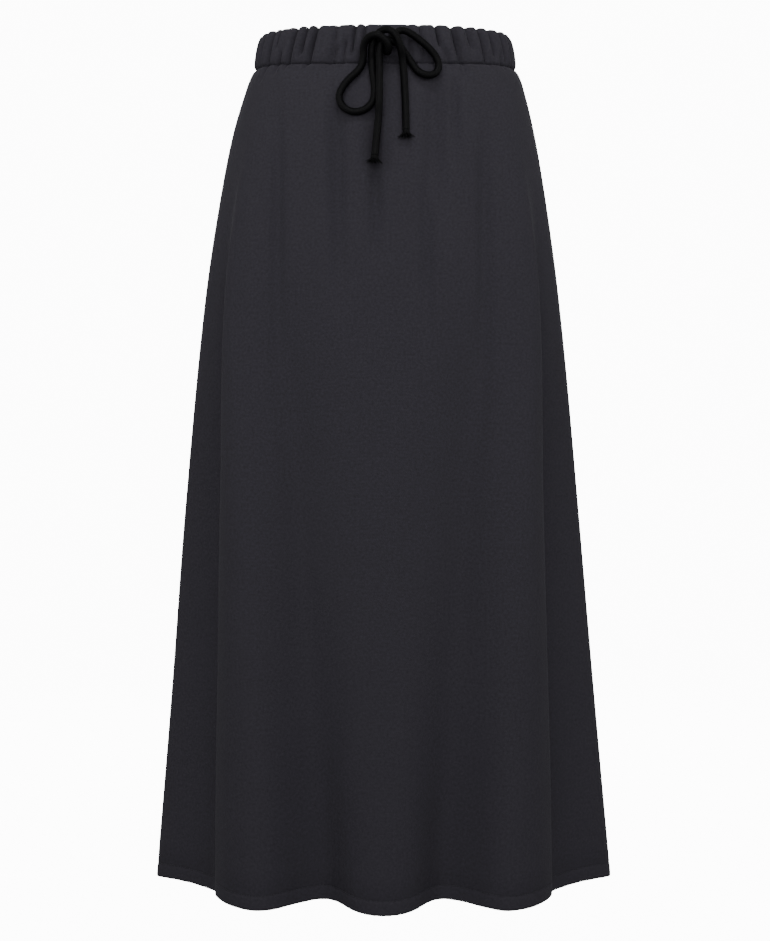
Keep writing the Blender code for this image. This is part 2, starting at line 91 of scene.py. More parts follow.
# Plan size of the skirt at each level: half width, depth to the front and to the
# back of the side line, and how far the section sits off to the wearer's right.
#   level_z  half_width  front   back    off_centre   (mm)
LEVELS = (
    (-9.0, 143.2, 94.5, 92.0, 0.6),
    (-14.0, 147.4, 96.6, 94.0, 0.9),
    (-40.0, 156.9, 104.5, 103.0, 0.3),
    (-85.0, 168.7, 113.5, 116.0, -1.0),
    (-152.0, 181.1, 124.0, 130.0, -1.8),
    (-263.0, 197.1, 137.0, 143.0, -2.7),
    (-485.0, 218.5, 157.0, 160.0, -3.0),
    (-707.0, 235.6, 173.5, 176.0, -1.8),
    (-906.0, 251.4, 187.0, 190.0, -1.0),
)

# Fold lines from centre front round the wearer's left side to centre back; the
# other side mirrors them.  Plan positions are shares of the level's half width
# (across) and of its front or back depth (deep), at hip, knee and hem.
#   name               hip across, deep   knee across, deep   hem across, deep   drop (mm)
FOLDS = (
    ("front_ridge", 0.00, -1.00, 0.00, -1.00, 0.00, -1.00, 2.0),
    ("front_slope", 0.29, -0.957, 0.20, -0.945, 0.135, -0.895, -0.7),
    ("front_valley", 0.58, -0.785, 0.40, -0.82, 0.265, -0.745, -5.6),
    ("outer_slope", 0.68, -0.73, 0.505, -0.82, 0.385, -0.82, -2.0),
    ("outer_ridge", 0.755, -0.675, 0.63, -0.805, 0.51, -0.89, 1.0),
    ("outer_shoulder", 0.822, -0.605, 0.733, -0.735, 0.64, -0.762, 0.0),
    ("corner", 0.862, -0.515, 0.785, -0.555, 0.711, -0.538, -1.2),
    ("side_valley", 0.893, -0.38, 0.786, -0.31, 0.732, -0.37, 0.2),
    ("side_face", 0.95, -0.19, 0.885, -0.08, 0.855, -0.20, -3.2),
    ("side_ridge", 1.002, 0.08, 1.004, 0.12, 1.00, 0.00, -2.4),
    ("side_seam", 0.962, 0.32, 0.97, 0.30, 0.985, 0.16, 0.0),
    ("back_side_valley", 0.855, 0.52, 0.838, 0.52, 0.81, 0.43, -2.0),
    ("back_outer_ridge", 0.655, 0.765, 0.69, 0.79, 0.64, 0.83, 1.0),
    ("back_valley", 0.36, 0.915, 0.37, 0.88, 0.32, 0.75, -3.0),
    ("back_ridge", 0.00, 1.00, 0.00, 1.00, 0.00, 1.00, 2.0),
)

# Gathers of the casing across the front: how far each valley lies from centre front
# along the casing, how deep it is and half its width (mm), and the shares of the
# casing's height between which it runs.  The back repeats them.
QUARTER_ROUND = 185.0      # centre front to side seam in the table of gathers (mm)
#   along  depth half   low    high
GATHERS = (
    (-176.0, 2.6, 2.8, 0.0, 1.0),
    (-161.0, 3.4, 3.0, 0.1, 1.0),
    (-147.0, 3.4, 2.8, 0.0, 0.85),
    (-134.0, 4.6, 2.8, 0.1, 1.0),
    (-120.0, 8.0, 3.2, -0.45, 1.0),
    (-112.0, 4.4, 2.2, 0.5, 1.0),
    (-104.0, 6.4, 2.8, -0.25, 0.25),
    (-93.0, 7.6, 2.8, -0.05, 1.0),
    (-81.0, 7.0, 2.6, 0.3, 1.0),
    (-71.0, 7.6, 2.8, -0.1, 1.0),
    (-48.0, 6.6, 5.4, -0.2, 0.32),
    (-50.0, 3.0, 2.8, 0.55, 1.0),
    (-38.0, 4.8, 3.2, -0.15, 0.55),
    (-31.0, 6.4, 2.8, 0.3, 1.0),
    (-21.0, 4.6, 2.8, 0.0, 1.0),
    (24.0, 2.4, 3.0, 0.0, 0.9),
    (36.0, 3.2, 3.0, 0.1, 1.0),
    (53.0, 7.0, 2.4, 0.5, 1.0),
    (58.0, 4.0, 4.5, -0.2, 0.25),
    (70.0, 7.0, 3.8, -0.45, 1.0),
    (85.0, 4.4, 3.8, 0.45, 1.0),
    (98.0, 5.6, 2.8, 0.05, 1.0),
    (111.0, 5.0, 3.0, 0.25, 1.0),
    (119.0, 3.2, 2.4, -0.1, 0.25),
    (126.0, 5.8, 2.8, 0.1, 1.0),
    (138.0, 4.0, 2.6, 0.0, 1.0),
    (150.0, 3.2, 2.6, -0.1, 0.9),
    (162.0, 3.2, 3.0, 0.15, 1.0),
    (175.0, 2.6, 2.8, 0.0, 1.0),
)
GATHER_LEAN = 7.5 * MM
GATHER_FADE = 34.0 * MM

# Soft creases of the panels: where the top and the bottom of each lie on the face
# of the skirt, half its width, and how deep it is; a ridge has a negative depth (mm).
#   x_top   z_top   x_bottom  z_bottom  half_width  depth
FRONT_CREASES = (
    (-116.0, -16.0, -113.0, -420.0, 6.5, 4.6),
    (-101.0, -60.0, -100.0, -260.0, 6.0, -1.4),
    (109.0, -24.0, 104.0, -430.0, 6.5, 4.2),
    (94.0, -60.0, 92.0, -250.0, 6.0, -1.4),
    (-52.0, -20.0, -47.0, -330.0, 9.0, 7.0),
    (-67.0, -30.0, -65.0, -200.0, 8.0, -1.6),
    (-28.0, -40.0, -30.0, -180.0, 9.0, -2.0),
    (-9.5, -50.0, -9.0, -270.0, 8.0, 7.6),
    (12.0, -50.0, 12.0, -200.0, 8.0, -1.8),
    (55.0, -14.0, 53.0, -220.0, 13.0, 9.0),
    (76.0, -18.0, 74.0, -150.0, 4.5, 3.4),
    (45.0, -120.0, 46.0, -360.0, 7.5, 5.0),
    (88.0, -20.0, 86.0, -180.0, 7.0, -1.8),
    (-141.0, -120.0, -146.0, -420.0, 9.0, -2.0),
    (140.0, -120.0, 146.0, -420.0, 9.0, -2.0),
)
# The same along whole fold lines, on both sides of the skirt.
#   fold           z_top   z_low   half_width  depth
FOLD_CREASES = (
    ("side_valley", -120.0, -960.0, 17.0, 6.5),
    ("corner", -60.0, -960.0, 9.0, -1.8),
    ("front_valley", -230.0, -700.0, 18.0, 3.0),
    ("back_side_valley", -140.0, -960.0, 20.0, 4.0),
    ("back_valley", -200.0, -720.0, 20.0, 3.0),
)
BACK_CREASES = (
    (14.0, -60.0, 18.0, -230.0, 13.0, 1.8),
    (-46.0, -30.0, -50.0, -260.0, 15.0, 2.2),
    (66.0, -26.0, 74.0, -170.0, 12.0, 2.0),
    (-92.0, -28.0, -100.0, -150.0, 9.0, 1.5),
    (104.0, -24.0, 116.0, -200.0, 9.0, 1.6),
    (40.0, -40.0, 44.0, -150.0, 10.0, -1.4),
    (-18.0, -36.0, -16.0, -140.0, 12.0, -1.2),
)

# Hem: height above its edge, and how far in of the outer face the cloth lies outside
# and inside (mm).  The row of stitches pulls in a groove at 15.4.
#   above  outside  inside
HEM_ROWS = (
    (17.0, 0.15, 3.4),
    (16.2, 0.45, 3.3),
    (15.4, 0.55, 3.2),
    (14.6, 0.45, 3.3),
    (13.8, 0.12, 3.6),
    (11.5, 0.0, 3.7),
    (8.0, 0.0, 3.7),
    (4.5, 0.05, 3.7),
    (2.0, 0.15, 3.6),
    (0.9, 0.5, 3.3),
    (0.2, 1.1, 2.7),
)

# Sections of the casing's outer and inner ply: distance out from the seam line and
# share of the height.  The cloth folds over between the two.
#   out    up     (mm, share)
CASING_OUTSIDE = (
    (-1.2, 0.00),
    (-0.6, 0.12),
    (-1.8, 0.42),
    (-3.8, 0.72),
    (-6.0, 0.92),
    (-8.2, 1.00),
)
CASING_INSIDE = ((-11.6, 0.90), (-10.4, 0.66), (-8.2, 0.36), (-7.0, 0.00))
# Rows of points of the strip: up the outer ply, over the fold, down the inner ply.
OUTER_UPS = (0.0, 0.015, 0.035, 0.06, 0.10, 0.15, 0.21, 0.28, 0.35, 0.42, 0.49, 0.56, 0.64, 0.72,
             0.79, 0.85, 0.90, 0.94)
#   out    up     share of the gathers
TOP_FOLD = (
    (-6.9, 0.972, 1.0),
    (-7.9, 0.992, 0.95),
    (-9.0, 1.000, 0.85),
    (-10.2, 0.992, 0.7),
    (-11.2, 0.965, 0.55),
)
INNER_UPS = (0.93, 0.88, 0.80, 0.70, 0.60, 0.50, 0.40, 0.30, 0.20, 0.10, 0.04, 0.0)
INNER_GATHER = 0.55        # share of the gathers in the inner ply
CASING_ROLL = 1.7          # the outer ply rolls in at its seam by this much (mm)
SLOT_ACROSS = 8.5          # slots for the cord, either side of centre front (mm)
SLOT_WIDTH = 9.6           # (mm)
SLOT_LOW = 0.42            # shares of the casing's height, both among OUTER_UPS
SLOT_HIGH = 0.72
SLOT_CLEAR = 0.45 * MM     # no other column of points this near a slot's edge

# -------- cord
CORD_DIAMETER = 8.0 * MM
CORD_ROUND = 25.0 * MM     # way once round the cord, for its pattern
CARRIERS = 8               # braid strands laid each way round
BRAID_PITCH = 3.1 * MM     # length of one diamond of the braid
BRAID_RELIEF = 0.42 * MM
# Way of each half of the cord: across, up from the waist centre, out from the cloth (mm).
RIGHT_LOOP_CORD = (
    (8.5, 4.9, -2.2), (8.6, 5.2, 1.6), (9.2, 8.0, 5.4), (12.2, 12.6, 7.6), (19.0, 15.6, 7.4),
    (27.5, 12.5, 6.4), (37.0, 6.0, 5.6), (47.0, -2.5, 5.2), (54.5, -11.5, 5.0), (57.5, -20.5, 5.0),
    (54.5, -29.5, 5.0), (45.5, -32.5, 5.0), (35.5, -28.5, 5.0), (28.0, -18.0, 5.2), (21.5, -8.5, 6.8),
    (15.0, -1.0, 9.8), (8.0, 3.0, 12.4), (1.0, 3.6, 13.0), (-4.0, -0.8, 13.2), (-5.4, -9.5, 12.2),
    (-5.6, -19.0, 10.9), (-5.5, -30.0, 11.8), (-5.5, -45.0, 12.6), (-5.7, -63.0, 11.3), (-6.3, -79.0, 7.0),
    (-8.2, -99.5, 4.9), (-10.2, -120.5, 4.8),
)
LEFT_LOOP_CORD = (
    (-8.5, 4.4, -2.2), (-8.3, 4.0, 1.6), (-6.3, 1.4, 4.6), (-2.5, -3.4, 4.8), (1.0, -7.4, 7.2),
    (3.4, -8.8, 11.8), (4.2, -6.0, 16.6), (2.6, -0.8, 20.4), (-2.0, 4.2, 22.0), (-8.0, 7.2, 22.6),
    (-14.0, 6.6, 21.0), (-19.4, 2.8, 17.6), (-22.0, -4.4, 12.8), (-22.4, -13.0, 9.4), (-24.4, -22.0, 6.6),
    (-29.8, -29.8, 5.2), (-37.2, -36.8, 5.0), (-44.2, -45.6, 5.0), (-48.0, -56.5, 5.0), (-44.0, -67.5, 5.0),
    (-33.5, -73.3, 5.0), (-20.5, -70.8, 5.0), (-11.9, -60.5, 5.0), (-10.6, -44.0, 5.0), (-12.6, -30.0, 5.8),
    (-13.4, -18.0, 8.0), (-13.7, -8.0, 10.0), (-12.4, 2.0, 11.8), (-7.2, 10.4, 14.2), (1.0, 14.0, 17.4),
    (8.4, 11.2, 19.6), (13.6, 3.8, 19.6), (17.0, -6.0, 17.0), (18.8, -16.5, 11.6), (20.2, -29.0, 6.6),
    (21.3, -48.0, 4.9), (22.2, -71.0, 4.8), (22.6, -93.0, 4.8),
)
# Frayed ends: the drawn-in head of the braid, then rings of loose yarns.
TIP_HEAD = 4.0 * MM
TIP_HEAD_RADII = (3.9, 3.8, 3.6, 3.5)                  # (mm)
TIP_YARNS = ((0.9, 5), (2.3, 11), (3.3, 16))           # radius of a ring (mm), yarns in it
# along a yarn: share of its length, share of its thickness
TIP_THICK = ((0.0, 1.0), (0.2, 1.05), (0.4, 1.0), (0.6, 0.9), (0.8, 0.7), (1.0, 0.3))
TIP_STRAND = 8.0 * MM
TIP_SPLAY = 5.2 * MM

# -------- camera and studio
CAMERA_AWAY = 2.3
CAMERA_Z = -0.4523
LENS = 79.19               # (mm)
LENS_SHIFT = 0.0005
FLOOR_Z = -1.02
DOME_RADIUS = 6.0
#   name             place               faces              width, height   watts
SOFTBOXES = (
    ("softbox_front", (0.0, -2.6, 0.5), (0.0, 0.0, -0.3), (3.2, 1.6), 39.0),
    ("softbox_left", (-1.6, -0.3, 0.35), (0.0, 0.0, -0.1), (0.7, 0.8), 5.6),
    ("softbox_right", (1.6, -0.3, 0.35), (0.0, 0.0, -0.1), (0.7, 0.8), 5.6),
    ("softbox_back", (0.0, 2.6, 0.7), (0.0, 0.0, -0.3), (2.4, 1.6), 45.0),
    ("softbox_top", (0.0, -1.0, 1.35), (0.0, 0.0, -0.05), (0.6, 0.25), 8.0),
)
WAIST_SPOT_POWER = 3.0
ROOM_LIGHT = 0.29          # dim even light from all round


def linear(hex_colour):
    """sRGB hex to the linear colour that the shaders take."""
    channels = []
    for k in (1, 3, 5):
        c = int(hex_colour[k:k + 2], 16) / 255.0
        channels.append(c / 12.92 if c <= 0.04045 else ((c + 0.055) / 1.055) ** 2.4)
    return (*channels, 1.0)


def walked_along(points):
    """Length walked from the first of a row of points to each of them."""
    steps = np.linalg.norm(np.diff(points, axis=0), axis=1)
    return np.concatenate([[0.0], np.cumsum(steps)])


def points_at(lengths, walked, row):
    """Points at some lengths along a row of points."""
    return np.column_stack([np.interp(lengths, walked, row[:, k]) for k in range(3)])


def unit(vector):
    """The same direction, one long."""
    return vector / np.linalg.norm(vector)


# ======== shape of the skirt
def smooth_rise(knots, values, at):
    """Cubic through the rows that never overshoots between two of them."""
    step = np.diff(knots)
    slope = np.diff(values) / step
    tangent = np.zeros(len(knots))
    tangent[0] = slope[0]
    tangent[-1] = slope[-1]
    for i in range(1, len(knots) - 1):
        if slope[i - 1] * slope[i] > 0.0:
            before = 2.0 * step[i] + step[i - 1]
            after = step[i] + 2.0 * step[i - 1]
            tangent[i] = (before + after) / (before / slope[i - 1] + after / slope[i])
    row = np.clip(np.searchsorted(knots, at) - 1, 0, len(step) - 1)
    t = np.clip((at - knots[row]) / step[row], -0.5, 1.2)
    return (values[row] * (1.0 + 2.0 * t) * (1.0 - t) ** 2
            + values[row + 1] * t * t * (3.0 - 2.0 * t)
            + step[row] * (tangent[row] * t * (1.0 - t) ** 2
                           - tangent[row + 1] * t * t * (1.0 - t)))


def mirrored_folds():
    """All fold lines once round: the named ones, then their mirror images."""
    other_side = []
    for name, hip_x, hip_y, knee_x, knee_y, hem_x, hem_y, drop in FOLDS[-2:0:-1]:
        other_side.append((name, -hip_x, hip_y, -knee_x, knee_y, -hem_x, hem_y, drop))
    return list(FOLDS) + other_side


FOLD_RING = mirrored_folds()


def fold_line(fold, z):
    """Plan position of one fold line at heights z."""
    name, hip_x, hip_y, knee_x, knee_y, hem_x, hem_y, drop = fold
    at = -np.asarray(z, float)
    reach = math.hypot(hip_x, hip_y)
    stations = -np.array([WAIST_Z, HIP_Z, KNEE_Z, HEM_Z])
    across = smooth_rise(stations, np.array([hip_x / reach, hip_x, knee_x, hem_x]), at)
    deep = smooth_rise(stations, np.array([hip_y / reach, hip_y, knee_y, hem_y]), at)
    levels = np.array(LEVELS) * MM
    half, front, back, off = [smooth_rise(-levels[:, 0], levels[:, k], at) for k in (1, 2, 3, 4)]
    return off + half * across, np.where(deep < 0.0, front, back) * deep


def ring_knots():
    """Share of the way round at which each fold line lies."""
    total = np.zeros(len(FOLD_RING))
    for z in (HIP_Z, KNEE_Z, HEM_Z):
        points = np.array([fold_line(fold, z) for fold in FOLD_RING])
        total += np.hypot(*(np.roll(points, -1, axis=0) - points).T)
    return np.concatenate([[0.0], np.cumsum(total)]) / total.sum()


RING_KNOTS = ring_knots()
SIDE_SEAM = RING_KNOTS[[fold[0] for fold in FOLDS].index("side_seam")]


def spline_weights(around):
    """Weight of every fold line at each share of the way round (closed cubic)."""
    step = np.diff(RING_KNOTS)
    count = len(step)
    left = np.zeros((count, count))
    right = np.zeros((count, count))
    for i in range(count):
        left[i, i - 1] += step[i - 1]
        left[i, i] += 2.0 * (step[i - 1] + step[i])
        left[i, (i + 1) % count] += step[i]
        right[i, i - 1] += 6.0 / step[i - 1]
        right[i, i] -= 6.0 / step[i - 1] + 6.0 / step[i]
        right[i, (i + 1) % count] += 6.0 / step[i]
    bend = np.linalg.solve(left, right)
    around = np.asarray(around) % 1.0
    i = np.clip(np.searchsorted(RING_KNOTS, around, side="right") - 1, 0, count - 1)
    j = (i + 1) % count
    b = ((around - RING_KNOTS[i]) / step[i])[:, None]
    a = 1.0 - b
    scale = (step[i] ** 2 / 6.0)[:, None]
    unit_rows = np.eye(count)
    return (a * unit_rows[i] + b * unit_rows[j]
            + ((a ** 3 - a) * bend[i] + (b ** 3 - b) * bend[j]) * scale)


def section(around, z):
    """Plan position of the cloth at shares of the way round and heights z."""
    weights = spline_weights(around)
    z = np.asarray(z, float)
    x = np.zeros(np.broadcast(weights[:, 0], z).shape)
    y = np.zeros(x.shape)
    for k, fold in enumerate(FOLD_RING):
        line_x, line_y = fold_line(fold, z)
        x += weights[:, k] * line_x
        y += weights[:, k] * line_y
    return x, y


def outward(around, z):
    """Level unit vector pointing out of the cloth."""
    x0, y0 = section(np.asarray(around) - 0.0005, z)
    x1, y1 = section(np.asarray(around) + 0.0005, z)
    length = np.hypot(x1 - x0, y1 - y0)
    return (y1 - y0) / length, -(x1 - x0) / length


def side_share(around):
    """0 at centre front and back, 1 at the widest point of the waist."""
    x, y = section(around, WAIST_Z)
    return (x / (LEVELS[0][1] * MM)) ** 2


def seam_height(around):
    """Height of the casing seam, higher at the sides."""
    return SEAM_FRONT_Z + SEAM_SIDE_RISE * side_share(around)


def top_height(around):
    """Height of the casing's top edge."""
    return TOP_FRONT_Z + TOP_SIDE_RISE * side_share(around)


def hem_height(around):
    """Height of the hem edge, which dips and rises with the folds."""
    drops = np.array([fold[7] for fold in FOLD_RING]) * MM
    return HEM_Z - spline_weights(around) @ drops


def waist_way():
    """Table turning a length along the casing into a share of the way round."""
    around = np.linspace(-0.5, 0.5, 1601)
    x, y = section(around, WAIST_Z)
    walked = walked_along(np.column_stack([x, y]))
    walked -= np.interp(0.0, around, walked)
    return around, walked, np.interp(SIDE_SEAM, around, walked)


WAY_AROUND, WAY_WALKED, WAY_SIDE = waist_way()
WAY_TOTAL = WAY_WALKED[-1] - WAY_WALKED[0]


def share_round(along):
    """Share of the way round of a length along the casing, from centre front."""
    along = np.asarray(along, float)
    laps = np.floor((along - WAY_WALKED[0]) / WAY_TOTAL)
    return np.interp(along - laps * WAY_TOTAL, WAY_WALKED, WAY_AROUND) + laps


def gather_valleys():
    """(length along the casing, depth, half width, low, high) of every valley once round."""
    back_half = WAY_TOTAL / 2.0 - WAY_SIDE
    valleys = []
    for along, depth, half, low, high in GATHERS:
        share = along / QUARTER_ROUND
        valleys.append((share * WAY_SIDE, depth * MM, half * MM, low, high))
        valleys.append((WAY_TOTAL / 2.0 - share * back_half, depth * MM, half * MM, low, high))
    return valleys


VALLEYS = gather_valleys()


def soft_step(low, high, at):
    """0 below low, 1 above high, eased between."""
    t = np.clip((at - low) / (high - low), 0.0, 1.0)
    return t * t * (3.0 - 2.0 * t)


def gather_wave(along, up):
    """Height of the gathers' wave along the casing at a share of its height."""
    along = np.asarray(along, float)
    wave = np.zeros(along.shape)
    for length, depth, half, low, high in VALLEYS:
        runs = soft_step(low - 0.18, low + 0.12, up) * (1.0 - soft_step(high - 0.05, high + 0.25, up))
        apart = (along - length + WAY_TOTAL / 2.0) % WAY_TOTAL - WAY_TOTAL / 2.0
        t = apart / half
        # a trough between two fuller rolls of cloth
        rolls = np.exp(-((t - 2.4) / 1.3) ** 2) + np.exp(-((t + 2.4) / 1.3) ** 2)
        wave += depth * runs * (0.20 * rolls - np.exp(-t * t))
    return wave


def pucker(along):
    """Small uneven puckers that the seam stitches draw up."""
    a = np.asarray(along, float) / MM
    uneven = 0.55 + 0.45 * np.sin(a * 0.071 + 1.3) * np.sin(a * 0.0293 + 0.4)
    return uneven * (np.sin(a * 1.31 + 1.6 * np.sin(a * 0.117)) + 0.6 * np.sin(a * 0.83 + 2.1))


# ======== mesh and nodes
def add_mesh(name, points, faces, material, uv):
    """A mesh object; uv holds one (across, down) pair in metres for each point."""
    mesh = bpy.data.meshes.new(name)
    mesh.from_pydata([tuple(p) for p in points], [], [tuple(f) for f in faces])
    mesh.validate()
    layer = mesh.uv_layers.new(name="cloth")
    corner = np.zeros(len(mesh.loops), dtype=np.int32)
    mesh.loops.foreach_get("vertex_index", corner)
    layer.data.foreach_set("uv", np.asarray(uv, np.float32)[corner].ravel())
    mesh.polygons.foreach_set("use_smooth", [True] * len(mesh.polygons))
    mesh.materials.append(material)
    piece = bpy.data.objects.new(name, mesh)
    bpy.context.scene.collection.objects.link(piece)
    return piece


def grid_faces(rows, count, closed):
    """Quads between the rows of a grid, each row running the same way round."""
    r, c = np.meshgrid(np.arange(rows - 1), np.arange(count if closed else count - 1), indexing="ij")
    a = (r * count + c).ravel()
    b = (r * count + (c + 1) % count).ravel()
    return np.column_stack([a, a + count, b + count, b])


def tube_faces(rings, sides, base=0):
    """Faces of a tube that is closed at both ends; its first point is number base."""
    last = base + (rings - 1) * sides
    faces = (grid_faces(rings, sides, True)[:, ::-1] + base).tolist()
    faces.append(list(range(base, base + sides)))
    faces.append(list(range(last, last + sides))[::-1])
    return faces


def add_node(tree, kind, settings=None, links=None, inputs=None):
    """One shader node: its attributes, links from other nodes or sockets, and plain inputs."""
    node = tree.nodes.new("ShaderNode" + kind)
    for name, value in (settings or {}).items():
        setattr(node, name, value)
    for name, value in (inputs or {}).items():
        node.inputs[name].default_value = value
    for name, source in (links or {}).items():
        socket = source.outputs[0] if isinstance(source, bpy.types.Node) else source
        tree.links.new(socket, node.inputs[name])
    return node


def new_material(name):
    """An empty node material and its tree."""
    material = bpy.data.materials.new(name)
    material.use_nodes = True
    tree = material.node_tree
    tree.nodes.clear()
    return material, tree


def knit_material():
    """Brushed cotton-mix jersey, piece-dyed charcoal: a dull face with a faint pale bloom."""
    material, tree = new_material("charcoal_knit_jersey")
    place = add_node(tree, "UVMap", {"uv_map": "cloth"})
    split = add_node(tree, "SeparateXYZ", links={0: place})
    # plain knit: each wale is a column of V loops, 1.9 mm apart and 1.5 mm tall
    # (coarser than the real 0.9 mm so that it still reads at this distance)
    wales = add_node(tree, "Math", {"operation": "DIVIDE"}, {0: split}, {1: 1.9 * MM})
    wale = add_node(tree, "Math", {"operation": "FRACT"}, {0: wales})
    centred = add_node(tree, "Math", {"operation": "SUBTRACT"}, {0: wale}, {1: 0.5})
    slant = add_node(tree, "Math", {"operation": "ABSOLUTE"}, {0: centred})
    leg_turn = add_node(tree, "Math", {"operation": "MULTIPLY"}, {0: slant}, {1: 2.0 * math.pi})
    leg = add_node(tree, "Math", {"operation": "SINE"}, {0: leg_turn})
    courses = add_node(tree, "Math", {"operation": "DIVIDE"}, {0: split.outputs[1]}, {1: 1.5 * MM})
    rise = add_node(tree, "Math", {"operation": "MULTIPLY_ADD"}, {0: slant, 2: courses}, {1: 1.3})
    loop_turn = add_node(tree, "Math", {"operation": "MULTIPLY"}, {0: rise}, {1: 2.0 * math.pi})
    loop = add_node(tree, "Math", {"operation": "SINE"}, {0: loop_turn})
    loop_height = add_node(tree, "Math", {"operation": "MULTIPLY_ADD"}, {0: loop}, {1: 0.45, 2: 0.55})
    knit = add_node(tree, "Math", {"operation": "MULTIPLY"}, {0: leg, 1: loop_height})
    # brushed surface fibres blur the loops
    fibre = add_node(tree, "TexNoise", links={"Vector": place},
                     inputs={"Scale": 900.0, "Detail": 3.0, "Roughness": 0.65})
    height = add_node(tree, "Math", {"operation": "MULTIPLY_ADD"}, {0: fibre, 2: knit}, {1: 0.9})
    bump = add_node(tree, "Bump", links={"Height": height}, inputs={"Strength": 0.3, "Distance": 0.35 * MM})
    # light and dark fibres of the yarn mix, and a slow change of dye depth
    fleck = add_node(tree, "TexNoise", links={"Vector": place},
                     inputs={"Scale": 330.0, "Detail": 4.0, "Roughness": 0.7})
    cloud = add_node(tree, "TexNoise", links={"Vector": place},
                     inputs={"Scale": 22.0, "Detail": 2.0, "Roughness": 0.5})
    mixed = add_node(tree, "Math", {"operation": "MULTIPLY_ADD"}, {0: cloud, 2: fleck}, {1: 0.08})
    tone = add_node(tree, "ValToRGB", links={0: mixed})
    for stop, at, colour in zip(tone.color_ramp.elements, (0.25, 0.85), ("#2c2a2f", "#39373f")):
        stop.position = at
        stop.color = linear(colour)
    shader = add_node(tree, "BsdfPrincipled", links={"Base Color": tone, "Normal": bump},
                      inputs={"Roughness": 0.9, "Specular IOR Level": 0.18,
                              "Sheen Weight": 0.06, "Sheen Roughness": 0.32,
                              "Sheen Tint": linear("#b9b8c4")})
    add_node(tree, "OutputMaterial", links={0: shader})
    return material


def cord_material():
    """Round braided polyester cord, dyed black: tight filaments with a low gloss."""
    material, tree = new_material("black_braided_polyester")
    place = add_node(tree, "UVMap", {"uv_map": "cloth"})
    # fine filaments: small bumps and small changes of tone
    fibre = add_node(tree, "TexNoise", links={"Vector": place},
                     inputs={"Scale": 1400.0, "Detail": 3.0, "Roughness": 0.6})
    bump = add_node(tree, "Bump", links={"Height": fibre}, inputs={"Strength": 0.5, "Distance": 0.2 * MM})
    tone = add_node(tree, "ValToRGB", links={0: fibre})
    for stop, at, colour in zip(tone.color_ramp.elements, (0.3, 0.75), ("#020203", "#070709")):
        stop.position = at
        stop.color = linear(colour)
    shader = add_node(tree, "BsdfPrincipled", links={"Base Color": tone, "Normal": bump},
                      inputs={"Roughness": 0.6, "Specular IOR Level": 0.12})
    add_node(tree, "OutputMaterial", links={0: shader})
    return material


def thread_material():
    """Spun polyester sewing thread in the cloth's colour: its twist breaks up a soft gloss."""
    material, tree = new_material("charcoal_sewing_thread")
    place = add_node(tree, "TexCoord")
    twist = add_node(tree, "TexNoise", links={"Vector": place.outputs["Object"]},
                     inputs={"Scale": 1800.0, "Detail": 2.0})
    bump = add_node(tree, "Bump", links={"Height": twist}, inputs={"Strength": 0.4, "Distance": 0.1 * MM})
    shader = add_node(tree, "BsdfPrincipled", links={"Normal": bump},
                      inputs={"Base Color": linear("#2b2a2f"), "Roughness": 0.6,
                              "Specular IOR Level": 0.3, "Sheen Weight": 0.05})
    add_node(tree, "OutputMaterial", links={0: shader})
    return material


def studio_material():
    """Matt white studio paper, lit from behind so that it stays plain and white."""
    material, tree = new_material("white_studio_paper")
    place = add_node(tree, "TexCoord")
    grain = add_node(tree, "TexNoise", links={"Vector": place.outputs["Object"]},
                     inputs={"Scale": 30.0, "Detail": 2.0})
    bump = add_node(tree, "Bump", links={"Height": grain}, inputs={"Strength": 0.05, "Distance": 1.0 * MM})
    shader = add_node(tree, "BsdfPrincipled", links={"Normal": bump},
                      inputs={"Base Color": linear("#f2f2f2"), "Roughness": 0.9,
                              "Emission Color": linear("#ffffff"), "Emission Strength": 12.0})
    add_node(tree, "OutputMaterial", links={0: shader})
    return material


# ======== camera
def place_camera():
    """Level camera on the skirt's middle line."""
    lens = bpy.data.cameras.new("camera")
    lens.lens = LENS
    lens.sensor_width = 36.0
    lens.shift_x = LENS_SHIFT
    lens.dof.use_dof = False
    camera = bpy.data.objects.new("camera", lens)
    camera.location = (0.0, -CAMERA_AWAY, CAMERA_Z)
    camera.rotation_euler = (math.radians(90.0), 0.0, 0.0)
    bpy.context.scene.collection.objects.link(camera)
    bpy.context.scene.camera = camera


# ======== cords
def cloth_front(across, up):
    """How far forward (-Y) the cloth lies at a point on the front."""
    around = np.linspace(-0.2, 0.2, 161)
    x, y = section(around, np.full(around.shape, min(up, SEAM_FRONT_Z)))
    depth = float(np.interp(across, x, y))
    if up > SEAM_FRONT_Z:
        share = (up - SEAM_FRONT_Z) / (TOP_FRONT_Z - SEAM_FRONT_Z)
        outs = [row[0] for row in CASING_OUTSIDE]
        ups = [row[1] for row in CASING_OUTSIDE]
        depth -= float(np.interp(share, ups, outs)) * MM
    return depth


def cord_path(way, steps):
    """Even curve through the rows of a cord's table (Catmull-Rom)."""
    points = []
    for across, up, out in way:
        x = across * MM
        z = up * MM
        points.append(np.array([x, cloth_front(x, z) - out * MM, z]))
    path = []
    for k in range(len(points) - 1):
        p1 = points[k]
        p2 = points[k + 1]
        p0 = points[k - 1] if k else 2.0 * p1 - p2
        p3 = points[k + 2] if k + 2 < len(points) else 2.0 * p2 - p1
        for step in range(steps):
            t = step / steps
            path.append(0.5 * (2.0 * p1 + (p2 - p0) * t + (2.0 * p0 - 5.0 * p1 + 4.0 * p2 - p3) * t ** 2
                               + (3.0 * p1 - p0 - 3.0 * p2 + p3) * t ** 3))
    path.append(points[-1])
    return np.array(path)


def even_path(path, spacing):
    """The same way, with its points an even distance apart."""
    walked = walked_along(path)
    at = np.linspace(0.0, walked[-1], int(round(walked[-1] / spacing)) + 1)
    return points_at(at, walked, path), at


